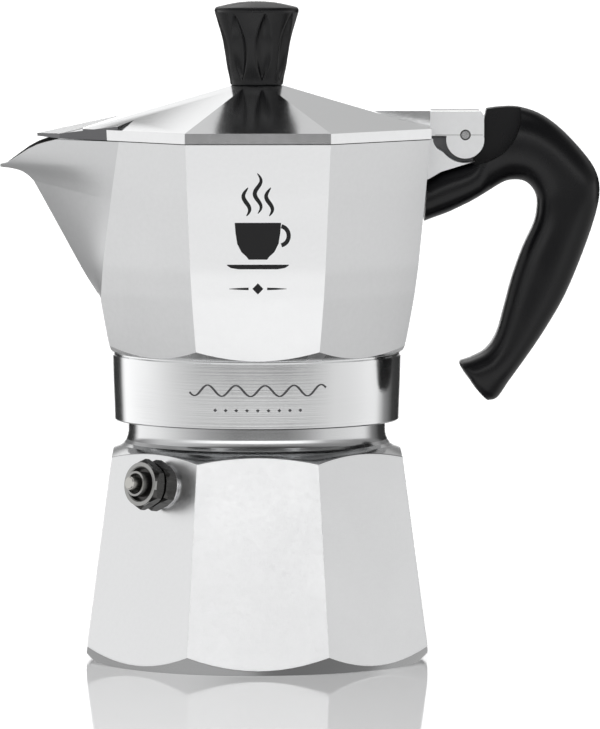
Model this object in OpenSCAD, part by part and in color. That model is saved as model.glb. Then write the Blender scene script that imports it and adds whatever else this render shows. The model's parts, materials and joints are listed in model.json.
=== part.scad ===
// Octagonal stovetop coffee maker.
// +Z is up, the origin is on the pot's axis at the table, +X points to the handle, -X to the spout.
// The flat faces of the octagon look along the X and Y axes and the diagonals between them.

/* [Boiler] */
// Radius of the ring the pot stands on
foot_r = 40.1; // [39.6:0.1:40.4]
// Corner radius of the octagon just above the foot
boiler_corner_r = 44.3; // [44:0.1:44.6]
// Corner radius of the octagon at the shoulder
shoulder_corner_r = 37.8; // [37.4:0.1:38]
// Height of the shoulder
shoulder_z = 50.2; // [49.8:0.1:50.6]
// Radius of the turned neck
neck_r = 31.2; // [31:0.05:31.3]
// Height of the boiler's rim
boiler_rim_z = 68; // [67.5:0.1:68.2]
// Radius of the boiler's mouth
mouth_r = 26.9; // [26.8:0.05:27]
// Axial advance of the thread in one turn
thread_pitch = 3; // [3:0.1:3.2]

/* [Collector] */
// Height of the skirt's lower edge
skirt_z = 58.2; // [58:0.1:58.6]
// Radius of the skirt at its lower edge
skirt_r = 34.4; // [34.2:0.1:34.8]
// Height of the collector's rim
rim_z = 126.5; // [126.4:0.1:126.5]
// Corner radius of the collector's rim
rim_corner_r = 45; // [44.9:0.1:45]
// Wall thickness of the collector, measured at the corners
collector_wall = 2.8; // [2.4:0.1:3]
// Height of the column's outlets
column_z = 118; // [112:1:120]

/* [Lid] */
// Corner radius of the lid
lid_corner_r = 45.2; // [45:0.1:45.3]
// Height of the lid's lower edge
lid_z = 126.7; // [126.7:0.05:126.8]
// Height of the flat that the knob stands on
lid_top_z = 138.9; // [138.5:0.1:139.2]
// Thickness of the lid's shell
lid_wall = 1.6; // [1.4:0.1:1.8]

/* [Hinge] */
// Distance of the hinge axis from the pot's axis
hinge_x = 50.2; // [50:0.1:50.4]
// Height of the hinge axis
hinge_z = 127.2; // [127:0.1:127.4]
// Radius of the hinge pin
hinge_pin_r = 1.3; // [1.2:0.05:1.4]
// Width across the lid's two ears
ears_w = 15; // [14:0.5:16]

/* [Handle] */
// Width of the grip
grip_w = 18; // [17:0.5:19]

/* [Safety valve] */
// Width across the flats of the valve's hexagon
valve_af = 10.6; // [10.4:0.1:10.8]
// Radius of the valve's pin
valve_pin_r = 1.55; // [1.5:0.01:1.6]

/* [Hidden] */
$fn = 96;

flats = cos(22.5);
foot_edge_z = 4.4;
thread_start_z = 60.6;
thread_end_z = boiler_rim_z - 1.4;
spigot_r = neck_r - 1.3;
thread_depth = 1.2;
skirt_bore_r = neck_r + 0.3;
flange_t = 1;
gasket_z = boiler_rim_z + flange_t;
plate_z = gasket_z + 2.4;
floor_under_z = gasket_z + 3;
floor_z = floor_under_z + 3.4;
basket_r = mouth_r - 0.5;
sheet = 0.8;
sieve_z = 48;
stem_r = 4.5;
stem_end_z = 8;
column_bore_r = 2.8;

valve_turn = 225;
valve_out = 35.76;
valve_side = 3.7;
valve_z = 44.3;
valve_tilt = atan((boiler_corner_r - shoulder_corner_r) * flats / (shoulder_z - foot_edge_z));
valve_bore_r = 2.6;
piston_r = valve_bore_r - 0.05;
bush_r = 3;
spring_wire = 0.3;
spring_mean_r = 2.1;

// Corner radius of the collector's octagon by height
collector_profile = [[74.4, 37.9], [76.7, 38.4], [89.5, 40.9], [103.2, 42.6], [114.6, 43.8],
                     [rim_z, rim_corner_r]];
// Stations of the spout: height on the body, keel's distance from the axis and keel's height
crease_foot_z = 88;
crease_top_share = 0.35;
spout_stations = [[94, 41.85, 94], [103.2, 46.9, 103.2], [113, 53.2, 114.6], [116.2, 54.6, 116.7],
                  [119, 56.9, 118.2], [121.6, 60.6, 119], [124, 62, 119.2], [rim_z, 62, rim_z]];
// Slope of the lid, its tongue's ridge and the tongue's two sides
ridge_slope = 0.2139;
side_slope = 0.06;
tongue_corner = [-47.4, 12.8];
tongue_tip = -53;
hip_x = -44.3;
knob_z = lid_top_z;
// Screw under the handle's arm
handle_screw_x = 49;
screw_seat_z = 113.5;

// ---------- shared shapes ----------

// Octagonal solid through rings of [height, corner radius], from the bottom up
module octagon_loft(rings) {
    n = len(rings);
    points = [for (ring = rings, k = [0 : 7])
        [ring[1] * cos(22.5 + 45 * k), ring[1] * sin(22.5 + 45 * k), ring[0]]];
    sides = [for (i = [0 : n - 2], k = [0 : 7])
        [8 * i + k, 8 * (i + 1) + k, 8 * (i + 1) + (k + 1) % 8, 8 * i + (k + 1) % 8]];
    caps = [[for (k = [0 : 7]) k], [for (k = [7 : -1 : 0]) 8 * (n - 1) + k]];
    polyhedron(points, concat(sides, caps), convexity = 4);
}

// Smooth curve through the points, with steps pieces between each two
function bend(p, i, t) = 0.5 * (2 * p[i] + (p[i + 1] - p[i - 1]) * t
    + (2 * p[i - 1] - 5 * p[i] + 4 * p[i + 1] - p[i + 2]) * t * t
    + (3 * p[i] - p[i - 1] - 3 * p[i + 1] + p[i + 2]) * t * t * t);
function curve(p, steps) = let (n = len(p), q = concat([2 * p[0] - p[1]], p, [2 * p[n - 1] - p[n - 2]]))
    concat([for (i = [1 : n - 1], s = [0 : steps - 1]) bend(q, i, s / steps)], [p[n - 1]]);

// Closed tube of given section rings; each ring is a list of points
module ring_sweep(rings) {
    n = len(rings);
    m = len(rings[0]);
    points = [for (ring = rings) each ring];
    sides = [for (i = [0 : n - 2], k = [0 : m - 1])
        [m * i + k, m * (i + 1) + k, m * (i + 1) + (k + 1) % m, m * i + (k + 1) % m]];
    caps = [[for (k = [0 : m - 1]) k], [for (k = [m - 1 : -1 : 0]) m * (n - 1) + k]];
    polyhedron(points, concat(sides, caps), convexity = 10);
}

// Helical ridge: root and crest radius, start and end height
module thread_ridge(root_r, crest_r, z1, z2) {
    steps = 36;
    last = floor((z2 - z1) / thread_pitch * steps);
    root_half = 0.8;
    crest_half = 0.35;
    inner = root_r < crest_r ? [root_r, root_half] : [crest_r, crest_half];
    outer = root_r < crest_r ? [crest_r, crest_half] : [root_r, root_half];
    section = [[inner[0], inner[1]], outer, [outer[0], -outer[1]], [inner[0], -inner[1]]];
    ring_sweep([for (i = [0 : last])
        let (a = 360 * i / steps, z = z1 + thread_pitch * i / steps)
        [for (s = section) [s[0] * cos(a), s[0] * sin(a), z + s[1]]]]);
}

// Plan pattern of small round holes in rings around the axis
module hole_rings(first_r, step_r, rings, hole_r) {
    for (j = [0 : rings - 1]) {
        r = first_r + step_r * j;
        count = floor(2 * PI * r / step_r);
        for (k = [0 : count - 1])
            rotate(360 * (k + 0.5 * (j % 2)) / count)
                translate([r, 0])
                    circle(hole_r, $fn = 24);
    }
}

// Shape drawn in the X-Z plane and given a width along Y
module side_plate(width) {
    translate([0, width / 2, 0])
        rotate([90, 0, 0])
            linear_extrude(width)
                children();
}

// Puts a part of the valve on its axis: local +Z points out of the boiler's sloped face
module on_valve_axis() {
    rotate(valve_turn)
        translate([valve_out, valve_side, valve_z])
            rotate([0, 90 - valve_tilt, 0])
                children();
}

module ring(outer_r, inner_r, z1, z2) {
    translate([0, 0, z1])
        difference() {
            cylinder(r = outer_r, h = z2 - z1);
            translate([0, 0, -1])
                cylinder(r = inner_r, h = z2 - z1 + 2);
        }
}

// ---------- boiler ----------

module boiler_outside() {
    slope = (boiler_corner_r - shoulder_corner_r) / (shoulder_z - foot_edge_z);
    intersection() {
        octagon_loft([[0, boiler_corner_r + foot_edge_z * slope],
                      [53, shoulder_corner_r - (53 - shoulder_z) * slope]]);
        rotate_extrude()
            polygon([[0, 0], [foot_r, 0], [foot_r + 6, 6.4], [foot_r + 6, 46], [34.6, 51.7],
                     [32.4, 52.6], [0, 52.6]]);
    }
    rotate_extrude()
        polygon([[25, 52], [33.8, 52], [32.2, 52.7], [31.5, 53.8], [neck_r, 55.5],
                 [neck_r, 58.4], [spigot_r, 59.2], [spigot_r, boiler_rim_z - 0.4],
                 [spigot_r - 0.4, boiler_rim_z], [25, boiler_rim_z]]);
    thread_ridge(spigot_r - 0.3, spigot_r + thread_depth, thread_start_z, thread_end_z);
}

module boiler() {
    color([0.78, 0.79, 0.8]) difference() {
        union() {
            difference() {
                boiler_outside();
                rotate_extrude()
                    polygon([[0, 3.2], [34, 3.2], [36.2, 4.2], [37, 6.4], [31.8, 47], [30.6, 50],
                             [28, 52], [mouth_r, 54.5], [mouth_r, boiler_rim_z + 1],
                             [0, boiler_rim_z + 1]]);
            }
            on_valve_axis() translate([0, 0, -7])
                cylinder(r = 8, h = 5);
        }
        on_valve_axis() translate([0, 0, -20])
            cylinder(r = 4.4, h = 40);
    }
}

module hexagon(af) { circle(r = af / sqrt(3), $fn = 6); }

module valve_body() {
    color([0.35, 0.36, 0.37]) on_valve_axis() difference() {
        union() {
            translate([0, 0, -7.5]) cylinder(r = 4.4, h = 9);
            intersection() {
                translate([0, 0, 0.6]) rotate(30) linear_extrude(7.2) hexagon(valve_af);
                rotate_extrude()
                    polygon([[0, 0.6], [5.4, 0.6], [6.2, 1.3], [6.2, 3.6], [5.5, 4.1], [4.8, 4.1],
                             [4.8, 4.8], [5.5, 4.8], [6.2, 5.3], [6.2, 7.2], [5.5, 7.8], [0, 7.8]]);
            }
        }
        translate([0, 0, -9]) cylinder(r = 1.5, h = 12);
        translate([0, 0, -6.5]) cylinder(r = valve_bore_r, h = 16);
        translate([0, 0, 4.6]) cylinder(r = bush_r, h = 6);
        translate([0, 0, 6.4]) cylinder(r = 3.85, h = 6);
    }
}

module valve_washer() {
    color([0.6, 0.6, 0.6]) on_valve_axis() ring(5.4, 4.4, 0, 0.6);
}

module valve_bush() {
    color([0.7, 0.7, 0.7]) on_valve_axis() difference() {
        translate([0, 0, 4.6]) cylinder(r = bush_r, h = 4.8);
        translate([0, 0, 4]) cylinder(r = valve_pin_r + 0.06, h = 6);
        translate([0, 0, 5.8]) cylinder(r = 2.5, h = 6);
    }
}

module valve_pin() {
    color([0.7, 0.69, 0.66]) on_valve_axis() union() {
        translate([0, 0, -5.7]) cylinder(r = valve_pin_r, h = 16.9);
        translate([0, 0, 11]) cylinder(r1 = valve_pin_r, r2 = valve_pin_r - 0.3, h = 0.4);
        translate([0, 0, -5.7]) cylinder(r = piston_r, h = 1.3);
    }
}

module valve_seal() {
    color([0.75, 0.2, 0.15]) on_valve_axis()
        translate([0, 0, -6.5]) cylinder(r = 2.3, h = 0.8);
}

module valve_spring() {
    coils = 6;
    steps = 14;
    lower = -4.4 + spring_wire;
    upper = 4.6 - spring_wire;
    color([0.6, 0.6, 0.62]) on_valve_axis()
        ring_sweep([for (i = [0 : coils * steps])
            let (a = 360 * i / steps, z = lower + (upper - lower) * i / (coils * steps))
            [for (k = [4 : -1 : 0]) let (r = spring_mean_r + spring_wire * cos(72 * k))
                [r * cos(a), r * sin(a), z + spring_wire * sin(72 * k)]]]);
}

// ---------- funnel ----------

module funnel_basket() {
    color([0.8, 0.8, 0.8]) rotate_extrude()
        polygon([[29.5, boiler_rim_z], [29.5, gasket_z], [basket_r - sheet, gasket_z],
                 [basket_r - sheet, sieve_z - 1], [6, sieve_z - 9], [stem_r, sieve_z - 9.6],
                 [stem_r, sieve_z - 12], [stem_r + sheet, sieve_z - 12],
                 [stem_r + sheet, sieve_z - 10.2], [basket_r, sieve_z - 1.7],
                 [basket_r, boiler_rim_z]]);
}

module funnel_sieve() {
    color([0.75, 0.75, 0.76]) translate([0, 0, sieve_z])
        linear_extrude(sheet)
            difference() {
                circle(basket_r - sheet);
                hole_rings(3.2, 3.2, 7, 0.7);
            }
}

module funnel_stem() {
    color([0.8, 0.8, 0.8]) difference() {
        translate([0, 0, stem_end_z]) cylinder(r = stem_r, h = sieve_z - 9.8 - stem_end_z);
        translate([0, 0, stem_end_z - 1]) cylinder(r = stem_r - 0.7, h = 60);
    }
}

// ---------- collector ----------

module gasket() {
    color([0.9, 0.9, 0.88]) rotate_extrude()
        polygon([[25.8, gasket_z], [skirt_bore_r - 0.35, gasket_z], [skirt_bore_r - 0.35, floor_under_z],
                 [27.7, floor_under_z], [27.7, plate_z], [25.8, plate_z]]);
}

module filter_plate() {
    color([0.75, 0.75, 0.76]) translate([0, 0, plate_z])
        linear_extrude(0.6)
            difference() {
                circle(27.5);
                hole_rings(3, 3, 8, 0.6);
            }
}

// Ring of the collector's body: octagon corners, with the spout's two creases and its keel on the -X side
function vessel_ring(z, corner_r, keel) =
    let (share = crease_top_share * max(0, z - crease_foot_z) / (rim_z - crease_foot_z),
         side = corner_r * [cos(112.5), sin(112.5)], front = corner_r * [cos(157.5), sin(157.5)],
         crease = front + share * (side - front))
    [for (a = [22.5, 67.5, 112.5]) [corner_r * cos(a), corner_r * sin(a), z],
     [crease[0], crease[1], z], keel, [crease[0], -crease[1], z],
     for (a = [247.5, 292.5, 337.5]) [corner_r * cos(a), corner_r * sin(a), z]];

// Body of the collector with its spout: wall is how far the surface lies inside the outer one
module vessel(wall, bottom, top) {
    plain = [for (z = bottom) vessel_ring(z[0], z[1], [-z[1] * flats, 0, z[0]])];
    spout = [for (s = spout_stations)
        vessel_ring(s[0], lookup(s[0], collector_profile) - wall,
                    [wall * 0.8 - s[1], 0, s[2] + wall * 0.4 * (s[2] < rim_z ? 1 : 0)])];
    last = [for (p = spout[len(spout) - 1]) [p[0], p[1], top]];
    ring_sweep(concat(plain, spout, top > rim_z ? [last] : []));
}

module collector_cavity() {
    wall = collector_wall;
    vessel(wall, [[floor_z, 24], [floor_z + 0.8, 32.5], [floor_z + 3, 35.9], [88, 40.6 - wall]], rim_z + 1);
}

module bracket() {
    tongue_w = 6;
    difference() {
        union() {
            side_plate(ears_w)
                polygon([[39.3, 115.9], [41.4, 116.6], [44.3, 118.3], [52.5, 121], [52.5, 125.5],
                         [46, 126.2], [39.3, 126.2]]);
            side_plate(7)
                polygon([[39.3, 115], [55.5, 115], [55.5, 119.4], [52.1, 119.6], [52, 121.2],
                         [39.3, 121.2]]);
        }
        translate([hinge_x, 0, hinge_z]) rotate([90, 0, 0])
            cylinder(r = 6.76, h = 40, center = true);
        translate([handle_screw_x, 0, 110]) cylinder(r = 1.5, h = 9);
    }
    difference() {
        union() {
            translate([hinge_x, 0, hinge_z]) rotate([90, 0, 0])
                cylinder(r = 3.6, h = tongue_w, center = true);
            side_plate(tongue_w)
                polygon([[hinge_x - 3.6, hinge_z], [46.2, 126.2], [39.5, 126.2], [39.5, 119.6],
                         [52.2, 120.6], [52.6, 123], [hinge_x + 3.6, hinge_z]]);
        }
        translate([hinge_x, 0, hinge_z]) rotate([90, 0, 0])
            cylinder(r = hinge_pin_r + 0.05, h = 40, center = true);
        translate([handle_screw_x, 0, 110]) cylinder(r = 1.5, h = 9);
    }
}

module collector() {
    color([0.8, 0.81, 0.82]) {
        difference() {
            union() {
                intersection() {
                    vessel(0, [[74.4, 37.9], [76.7, 38.4], [88, 40.6]], rim_z);
                    rotate_extrude()
                        polygon([[0, 73], [34, 73], [35.6, 74.9], [38.8, 77], [80, 103], [80, 130], [0, 130]]);
                }
                rotate_extrude()
                    polygon([[30, skirt_z + 0.3], [skirt_bore_r + 0.3, skirt_z],
                             [skirt_r - 0.5, skirt_z], [skirt_r, skirt_z + 0.6],
                             [skirt_r + 0.5, skirt_z + 9], [skirt_r + 0.6, 74.2],
                             [skirt_r + 0.9, 75.4], [30, 75.4]]);
            }
            collector_cavity();
            side_plate(60)
                polygon([[-48.5, 126.6], [-50.3, 125.9], [-52.7, 125.1], [-54.9, 124], [-58.1, 121.8],
                         [-60.4, 120.2], [-63, 119.9], [-66, 130], [-48.5, 130]]);
            translate([0, 0, 50]) cylinder(r = skirt_bore_r, h = floor_under_z - 50);
            rotate_extrude()
                polygon([[0, floor_under_z - 1], [24.5, floor_under_z - 1], [24.5, floor_under_z],
                         [column_bore_r, floor_under_z + 2.4], [0, floor_under_z + 2.4]]);
            cylinder(r = column_bore_r, h = column_z - 1.5);
        }
        thread_ridge(skirt_bore_r + 0.3, skirt_bore_r - thread_depth, thread_start_z + thread_pitch / 2,
                     thread_end_z);
        column();
        bracket();
    }
}

module column() {
    difference() {
        rotate_extrude()
            polygon([[column_bore_r, floor_z - 1], [9, floor_z - 1], [7.2, floor_z + 2.5],
                     [6.4, floor_z + 6], [4.9, column_z - 3], [4.2, column_z - 0.8], [3, column_z],
                     [0, column_z], [0, column_z - 1.5], [column_bore_r, column_z - 1.5]]);
        for (side = [0, 180])
            rotate(90 + side) translate([0, -1.6, column_z - 8])
                cube([12, 3.2, 4.5]);
    }
}

// ---------- handle ----------

module handle_outline() {
    outer = [[53.1, 133.2], [61.5, 133.9], [68.5, 132.1], [76, 126.1], [82, 118], [82.8, 112],
             [79, 99], [72.1, 84], [63.5, 70.8], [58.9, 64.2]];
    foot = [[57.7, 63], [56.2, 62.6], [54.7, 63.3], [52, 67.1], [49.3, 69.9], [48.7, 71.5]];
    inner = [[49.3, 72.5], [53.7, 73.7], [57.2, 77.5], [60.2, 86.9], [63.8, 99], [67.4, 107],
             [67.2, 113], [63.2, 116.1], [58.7, 115], [51, 110.4], [40.2, 106.1]];
    upper = [[41, 116.2], [44.2, 118.1], [52.7, 120.9], [53, 122.3], [54.2, 123.6], [54.2, 130.4],
             [52.8, 131.8]];
    polygon(concat(curve(outer, 5), curve(foot, 3), curve(inner, 5), upper));
}

module handle() {
    color([0.12, 0.12, 0.13]) difference() {
        side_plate(grip_w) handle_outline();
        for (side = [-1, 1])
            translate([0, side * (2.9 + 10), 0])
                side_plate(20) translate([51.6, 132.1]) circle(12.1);
        translate([39, -3.7, 114.8]) cube([16.8, 7.4, 5]);
        translate([44, -3.7, 114.8]) cube([8.3, 7.4, 7]);
        translate([handle_screw_x, 0, 100]) cylinder(r = 1.7, h = 20);
        translate([handle_screw_x, 0, 100]) cylinder(r = 2.9, h = screw_seat_z - 100);
        translate([46, -8, 121.2]) cube([7, 16, 6]);
    }
}

module handle_screw() {
    color([0.6, 0.6, 0.6]) difference() {
        union() {
            translate([handle_screw_x, 0, screw_seat_z - 1.5]) cylinder(r = 2.7, h = 1.5);
            translate([handle_screw_x, 0, screw_seat_z - 0.5]) cylinder(r = 1.5, h = 5.6);
        }
        translate([handle_screw_x - 4, -0.4, screw_seat_z - 2]) cube([8, 0.8, 1.2]);
    }
}

// ---------- lid ----------

function ridge_height(x) = 129.3 + ridge_slope * (x - hip_x);

// Gabled tongue over the spout: plan corners, roof and hipped end
module lid_tongue() {
    corner = tongue_corner;
    root = [-33.3, 25.5];
    deep = [-20, 0];
    roof_root = ridge_height(root[0]) - side_slope * root[1];
    roof_corner = ridge_height(corner[0]) - side_slope * corner[1];
    base = [[root[0], -root[1]], [corner[0], -corner[1]], [tongue_tip, 0], corner, root, deep];
    top = [roof_root, roof_corner, 127.4, roof_corner, roof_root, ridge_height(deep[0])];
    points = concat([for (p = base) [p[0], p[1], lid_z]],
                    [for (i = [0 : 5]) [base[i][0], base[i][1], top[i]]],
                    [[hip_x, 0, ridge_height(hip_x)]]);
    walls = [for (i = [0 : 5]) [i, (i + 1) % 6, 6 + (i + 1) % 6, 6 + i]];
    roof = [[6, 7, 12, 11], [7, 8, 12], [8, 9, 12], [9, 10, 11, 12]];
    polyhedron(points, concat(walls, roof, [[5, 4, 3, 2, 1, 0]]), convexity = 4);
}

module lid_shell() {
    top_r = 6.3 / flats;
    difference() {
        union() {
            octagon_loft([[lid_z, lid_corner_r], [129.2, lid_corner_r], [lid_top_z, top_r]]);
            lid_tongue();
        }
        octagon_loft([[lid_z - 1, lid_corner_r - 2.2], [128.2, lid_corner_r - 2.2],
                      [lid_top_z - lid_wall, top_r - 0.2]]);
        translate([2.4, 0, -1.2]) lid_tongue();
        cylinder(r = 2.1, h = 200);
    }
}

module lid() {
    gap_w = 6.6;
    color([0.82, 0.83, 0.84]) difference() {
        union() {
            lid_shell();
            side_plate(10)
                polygon([[28.4, 132.9], [44, 132.9], [44, 127], [41.6, 127], [41, 128.8], [28.4, 132.3]]);
            side_plate(ears_w)
                polygon([[41.7, 127], [54.7, 127], [54.7, 131.9], [53.7, 132.9], [41.7, 132.9]]);
            translate([50.15, 0, 126.1]) rotate([90, 0, 0])
                cylinder(r = 4.6, h = ears_w, center = true);
        }
        translate([42, -gap_w / 2, 120]) cube([20, gap_w, 20]);
        translate([hinge_x, 0, hinge_z]) rotate([90, 0, 0])
            cylinder(r = hinge_pin_r, h = 40, center = true);
    }
}

module hinge_pin() {
    color([0.7, 0.7, 0.72]) translate([hinge_x, 0, hinge_z]) rotate([90, 0, 0])
        cylinder(r = hinge_pin_r, h = ears_w, center = true);
}

// ---------- knob ----------

module knob() {
    flutes = 8;
    color([0.12, 0.12, 0.13]) difference() {
        rotate_extrude()
            polygon(concat([[0, knob_z], [6.2, knob_z]],
                curve([[6.4, knob_z + 0.3], [6.6, knob_z + 1.9], [7.2, knob_z + 4.7],
                       [8.3, knob_z + 11.2], [9.5, knob_z + 15.5], [10.2, knob_z + 17.6]], 4),
                [[10.1, knob_z + 18.2], [9.6, knob_z + 18.7]],
                [for (a = [1 : 8]) [9.2 * cos(a * 11.25), knob_z + 18.9 + 1.4 * sin(a * 11.25)]]));
        for (k = [0 : flutes - 1])
            rotate(-90 + 11.5 + 360 * k / flutes)
                translate([8.9, 0, knob_z + 9.2])
                    rotate([0, 11.5, 0])
                        flute(14.6, 2.4);
        cylinder(r = 1.9, h = knob_z + 13.5);
    }
}

// Spindle with pointed ends: length and greatest radius
module flute(length, radius) {
    rotate_extrude($fn = 32)
        polygon([for (i = [0 : 12]) let (u = i / 6 - 1) [radius * (1 - u * u), u * length / 2]]);
}

module knob_screw() {
    head_z = lid_top_z - lid_wall - 0.8;
    color([0.7, 0.7, 0.7]) difference() {
        union() {
            translate([0, 0, head_z - 2]) cylinder(r = 3.6, h = 2);
            translate([0, 0, head_z - 1]) cylinder(r = 1.9, h = 14);
        }
        translate([-4, -0.5, head_z - 2.5]) cube([8, 1, 1.3]);
    }
}

module knob_washer() {
    color([0.7, 0.7, 0.7])
        ring(5, 2.1, lid_top_z - lid_wall - 0.8, lid_top_z - lid_wall);
}

boiler();
valve_body();
valve_washer();
valve_bush();
valve_pin();
valve_seal();
valve_spring();
funnel_basket();
funnel_sieve();
funnel_stem();
gasket();
filter_plate();
collector();
handle();
handle_screw();
lid();
hinge_pin();
knob();
knob_screw();
knob_washer();
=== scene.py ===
import json
import math

import bmesh
import bpy
from mathutils import Matrix, Vector


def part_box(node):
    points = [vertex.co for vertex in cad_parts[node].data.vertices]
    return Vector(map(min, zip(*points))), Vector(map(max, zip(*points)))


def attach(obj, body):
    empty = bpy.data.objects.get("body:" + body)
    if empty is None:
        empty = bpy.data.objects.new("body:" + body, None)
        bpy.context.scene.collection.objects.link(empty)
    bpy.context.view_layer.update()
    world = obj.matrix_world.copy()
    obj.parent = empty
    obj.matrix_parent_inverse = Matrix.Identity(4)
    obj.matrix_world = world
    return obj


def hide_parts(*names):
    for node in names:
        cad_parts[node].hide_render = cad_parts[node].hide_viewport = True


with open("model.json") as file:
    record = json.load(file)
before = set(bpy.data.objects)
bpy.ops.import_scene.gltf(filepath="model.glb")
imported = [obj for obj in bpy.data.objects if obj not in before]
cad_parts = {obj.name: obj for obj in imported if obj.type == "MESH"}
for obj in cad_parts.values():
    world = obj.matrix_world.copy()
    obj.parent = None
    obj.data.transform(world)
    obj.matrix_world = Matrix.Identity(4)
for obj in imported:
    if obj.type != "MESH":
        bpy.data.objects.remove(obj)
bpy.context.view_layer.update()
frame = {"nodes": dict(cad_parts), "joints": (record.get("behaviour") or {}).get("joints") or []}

# Looks of an octagonal stovetop coffee maker. Shapes are worked out in millimetres and built in metres.
MM = 0.001
joints = {joint["name"]: joint for joint in frame["joints"]}
hinge_x, _, hinge_z = (v / MM for v in joints["lid_hinge"]["pos_m"])

# Octagon: degrees from one face to the next, and from a face's middle to its corner
FACE_STEP = 45
HALF_FACE = 22.5
# Distance of a face's middle over that of its corner
FLATS = math.cos(math.radians(HALF_FACE))
# Columns of points on each side of an octagonal mesh
PER_SIDE = 12
# Faces of a casting that meet at less than this are shaded as one surface; loose small pieces allow more
CAST_SHARP_DEG = 14
LOOSE_SHARP_DEG = 40
# Points closer than this, in metres, become one
WELD = 1e-7


# ---------------------------------------------------------------- mesh helpers

def lerp(a, b, t):
    """Value a share t of the way from a to b."""
    return a + (b - a) * t


def table(pairs, x):
    """Straight-line value at x from pairs of (x, value)."""
    for (x0, y0), (x1, y1) in zip(pairs, pairs[1:]):
        if x <= x1:
            return lerp(y0, y1, (x - x0) / (x1 - x0))
    return pairs[-1][1]


def smooth_curve(points, steps):
    """Catmull-Rom curve through points, with steps pieces between each two."""
    pts = [Vector(p) for p in points]
    pts = [2 * pts[0] - pts[1]] + pts + [2 * pts[-1] - pts[-2]]
    out = []
    for i in range(1, len(pts) - 2):
        a, b, c, d = pts[i - 1:i + 3]
        for s in range(steps):
            t = s / steps
            out.append(0.5 * (2 * b + (c - a) * t + (2 * a - 5 * b + 4 * c - d) * t * t
                              + (3 * b - a - 3 * c + d) * t ** 3))
    return out + [pts[-2]]


def finish_piece(name, mesh, body, material, smooth_deg=CAST_SHARP_DEG):
    """Piece from a mesh, shaded smooth where faces meet at less than an angle, riding on its body."""
    mesh.validate()
    piece = bpy.data.objects.new(name, mesh)
    bpy.context.scene.collection.objects.link(piece)
    for polygon in mesh.polygons:
        polygon.use_smooth = True
    mesh.materials.append(material)
    mesh.set_sharp_from_angle(angle=math.radians(smooth_deg))
    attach(piece, body)
    return piece


def ring_mesh(rings, first_cap=True):
    """Quads between rings of points in millimetres; each ring has the same number of points."""
    bm = bmesh.new()
    rows = [[bm.verts.new(Vector(p) * MM) for p in ring] for ring in rings]
    count = len(rows[0])
    for low, high in zip(rows, rows[1:]):
        for k in range(count):
            n = (k + 1) % count
            bm.faces.new((low[k], low[n], high[n], high[k]))
    if first_cap:
        bm.faces.new(rows[0][::-1])
    bm.faces.new(rows[-1])
    bmesh.ops.remove_doubles(bm, verts=bm.verts, dist=WELD)
    bmesh.ops.recalc_face_normals(bm, faces=bm.faces)
    return bm


def to_mesh(bm, name):
    mesh = bpy.data.meshes.new(name)
    bm.to_mesh(mesh)
    bm.free()
    return mesh


def bevel(piece, width, segments=3, angle=25):
    """Rounds the edges where faces meet at more than an angle in degrees."""
    modifier = piece.modifiers.new("edges", "BEVEL")
    modifier.width = width * MM
    modifier.segments = segments
    modifier.limit_method = "ANGLE"
    modifier.angle_limit = math.radians(angle)
    modifier.harden_normals = True


def cut(piece, cutter_bm):
    """Subtracts a closed mesh from a piece, at once."""
    cutter = bpy.data.objects.new("cutter", to_mesh(cutter_bm, "cutter"))
    bpy.context.scene.collection.objects.link(cutter)
    modifier = piece.modifiers.new("cut", "BOOLEAN")
    modifier.operation = "DIFFERENCE"
    modifier.solver = "EXACT"
    modifier.object = cutter
    bpy.context.view_layer.update()
    with bpy.context.temp_override(object=piece, active_object=piece, selected_objects=[piece]):
        bpy.ops.object.modifier_apply(modifier=modifier.name)
    bpy.data.objects.remove(cutter)


def even_angles(count):
    return [2 * math.pi * k / count for k in range(count)]


def circle(radius, height, angles):
    return [(radius * math.cos(a), radius * math.sin(a), height) for a in angles]


def turned(profile, columns, first_cap=True):
    """Solid of revolution about Z from (radius, height) points, with a flat cap at each end."""
    angles = even_angles(columns)
    return ring_mesh([circle(r, z, angles) for r, z in profile], first_cap)


def plate(outline, width, centre_y=0.0):
    """Outline in the X-Z plane, given a width along Y."""
    near = [(x, centre_y - width / 2, z) for x, z in outline]
    far = [(x, centre_y + width / 2, z) for x, z in outline]
    return ring_mesh([near, far])


def arc(cx, cz, radius, first_deg, last_deg, steps):
    """Points along part of a circle, in steps."""
    angles = [math.radians(lerp(first_deg, last_deg, i / steps)) for i in range(steps + 1)]
    return [(cx + radius * math.cos(a), cz + radius * math.sin(a)) for a in angles]


THREAD_PITCH = 3
THREAD_STEPS = 48            # sections in one turn of a thread
THREAD_HALF_ROOT = 0.8
THREAD_HALF_CREST = 0.35


def helix_ridge(root, crest, z_low, z_high):
    """Helical ridge of a thread between two heights; a crest inside its root makes an inner thread."""
    inner, outer = sorted([(root, THREAD_HALF_ROOT), (crest, THREAD_HALF_CREST)])
    section = [inner, outer, (outer[0], -outer[1]), (inner[0], -inner[1])]
    rings = []
    for i in range(int((z_high - z_low) / THREAD_PITCH * THREAD_STEPS) + 1):
        a = 2 * math.pi * i / THREAD_STEPS
        rise = z_low + THREAD_PITCH * i / THREAD_STEPS
        rings.append([(r * math.cos(a), r * math.sin(a), rise + dz) for r, dz in section])
    return ring_mesh(rings)


# ---------------------------------------------------------------- materials

def new_material(name):
    material = bpy.data.materials.new(name)
    material.use_nodes = True
    return material, material.node_tree.nodes, material.node_tree.links


def node(nodes, kind, **values):
    made = nodes.new(kind)
    for key, value in values.items():
        if key in made.inputs:
            made.inputs[key].default_value = value
        else:
            setattr(made, key.lower().replace(" ", "_"), value)
    return made


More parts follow.
